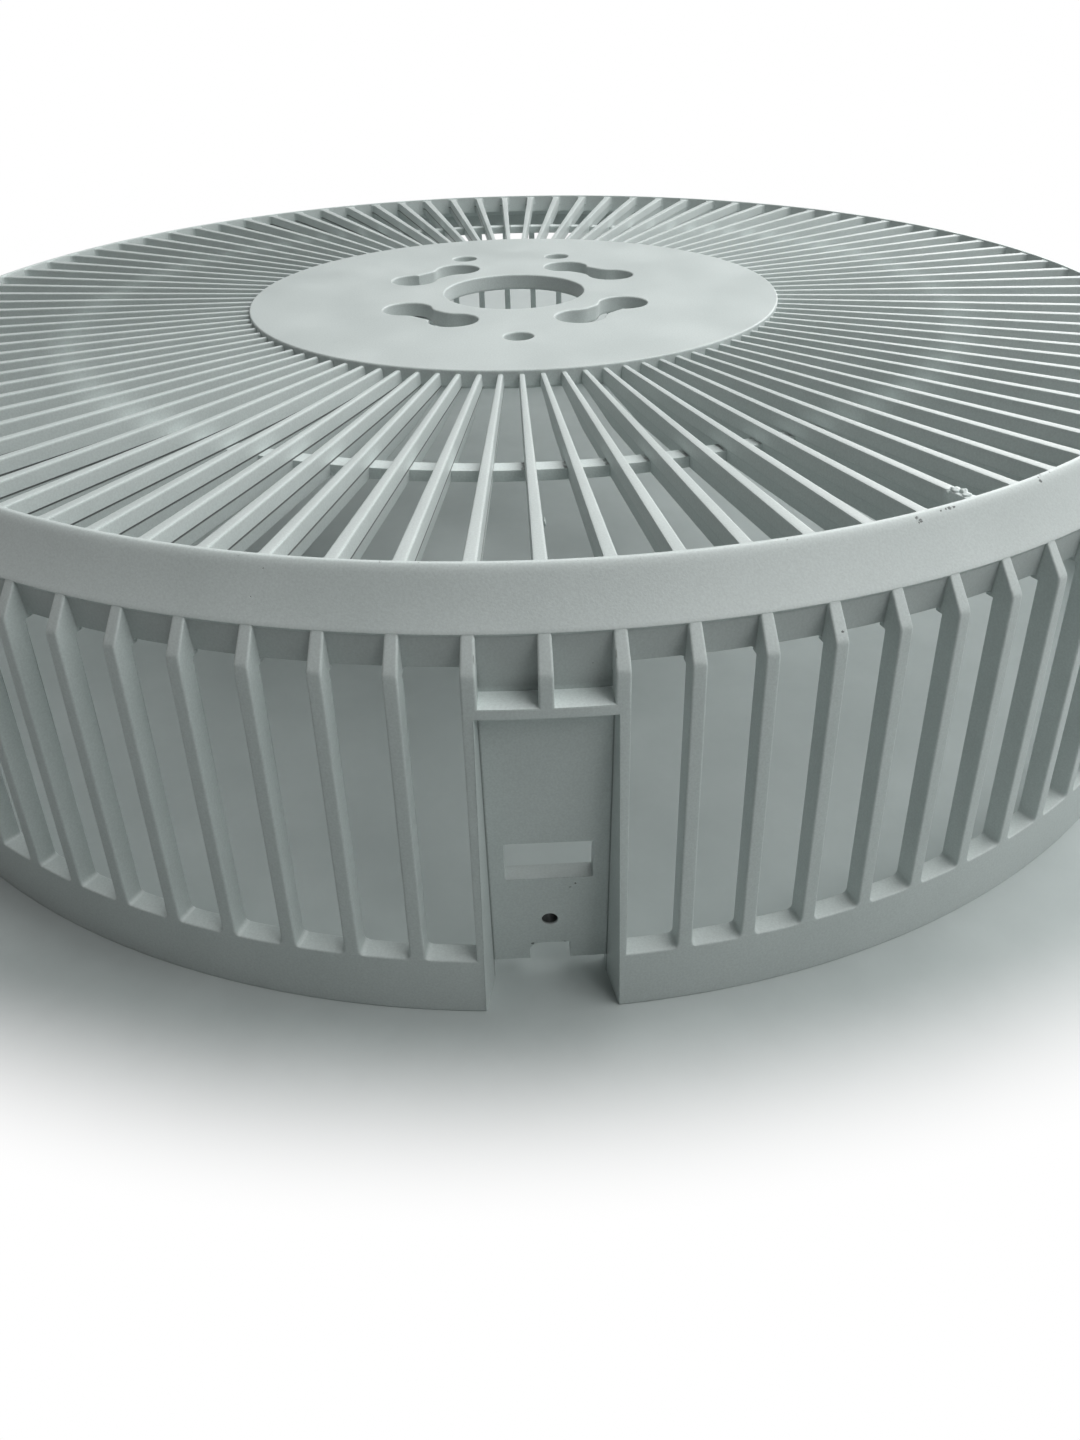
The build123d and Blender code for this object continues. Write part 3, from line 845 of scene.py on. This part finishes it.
# %% Room
ROOM_LIGHT = 0.03
world = bpy.data.worlds.new("soft_room")
bpy.context.scene.world = world
world.use_nodes = True
tree = world.node_tree
room = tree.nodes["Background"]
room.inputs["Color"].default_value = (0.98, 0.90, 0.90, 1)
room.inputs["Strength"].default_value = ROOM_LIGHT
seen = node("ShaderNodeBackground", Color=(1, 1, 1, 1), Strength=1.0)
look = node("ShaderNodeLightPath")
# The white isn't mirrored, because it would lie as a veil on a plastic as dull as this
sees_paper = calc("MAXIMUM", look.outputs["Is Camera Ray"], look.outputs["Is Transmission Ray"])
blend = node("ShaderNodeMixShader", Fac=sees_paper)
tree.links.new(room.outputs[0], blend.inputs[1])
tree.links.new(seen.outputs[0], blend.inputs[2])
tree.links.new(blend.outputs[0], tree.nodes["World Output"].inputs["Surface"])


# %% Lamps
LAMP_AIM, LAMP_DISTANCE, LAMP_SIZE = np.array([0, 0, 0.06]), 0.85, 0.5


def soft_light(name, place, aim, size, power, colour):
    """Area light at a place, in metres, turned so that its -Z looks at the aim."""
    lamp = bpy.data.lights.new(name, "AREA")
    lamp.shape, lamp.size, lamp.energy, lamp.color = "SQUARE", size, power, colour
    holder = bpy.data.objects.new(name, lamp)
    bpy.context.scene.collection.objects.link(holder)
    holder.location = place
    holder.rotation_euler = (Vector(aim) - Vector(place)).to_track_quat("-Z", "Y").to_euler()
    return holder


# Each lamp: direction round from +X and height above the horizon in degrees, and power in watts
LAMPS = [(30, 72, 2.7), (0, 45, 1.5), (315, 45, 2.1), (45, 45, 1.6), (45, 18, 1.7), (90, 45, 0.9),
         (300, 72, 0.55), (0, 18, 0.5), (180, 18, 0.42)]
# The low lamps stand for light off the room's walls, which is a little warmer
COOL, WARM, LOW = (0.98, 1.0, 0.995), (0.98, 0.945, 0.94), 30
for number, (round_z, above, power) in enumerate(LAMPS):
    turn, lift = math.radians(round_z), math.radians(above)
    direction = np.array([math.cos(turn) * math.cos(lift), math.sin(turn) * math.cos(lift), math.sin(lift)])
    soft_light(f"window_{number}", LAMP_AIM + LAMP_DISTANCE * direction, LAMP_AIM, LAMP_SIZE, power,
               COOL if above > LOW else WARM)
print(len(LAMPS), "soft lamps,", round(sum(lamp[2] for lamp in LAMPS), 2), "W together")

# %% [markdown]
# ## Camera
#
# A phone's wide lens, close to the panel and looking down on the guard. Its place, turn and focal length were
# fitted to the circles, ribs and bars in the photograph.

# %% Camera
EYE = Vector((-4.67, -284.2, 143.3)) * MM
HEADING, PITCH_DOWN, ROLL, LENS = 0.0321, 0.6347, -0.0225, 24.695
ahead = Vector((math.sin(HEADING) * math.cos(PITCH_DOWN), math.cos(HEADING) * math.cos(PITCH_DOWN),
                -math.sin(PITCH_DOWN)))
level_right = Vector((math.cos(HEADING), -math.sin(HEADING), 0))
level_up = level_right.cross(ahead)
right_way = level_right * math.cos(ROLL) + level_up * math.sin(ROLL)
up_way = level_up * math.cos(ROLL) - level_right * math.sin(ROLL)

lens = bpy.data.cameras.new("camera")
lens.sensor_fit, lens.sensor_height, lens.lens = "VERTICAL", 36.0, LENS
lens.clip_start, lens.clip_end = 0.01, 50
camera = bpy.data.objects.new("camera", lens)
bpy.context.scene.collection.objects.link(camera)
turn = Matrix((right_way, up_way, -ahead)).transposed().to_4x4()
camera.matrix_world = Matrix.Translation(EYE) @ turn
bpy.context.scene.camera = camera
print("the camera stands", round(EYE.length, 3), "m from the guard's foot, with a lens of", LENS, "mm")
bpy.context.scene.view_settings.view_transform = "Standard"
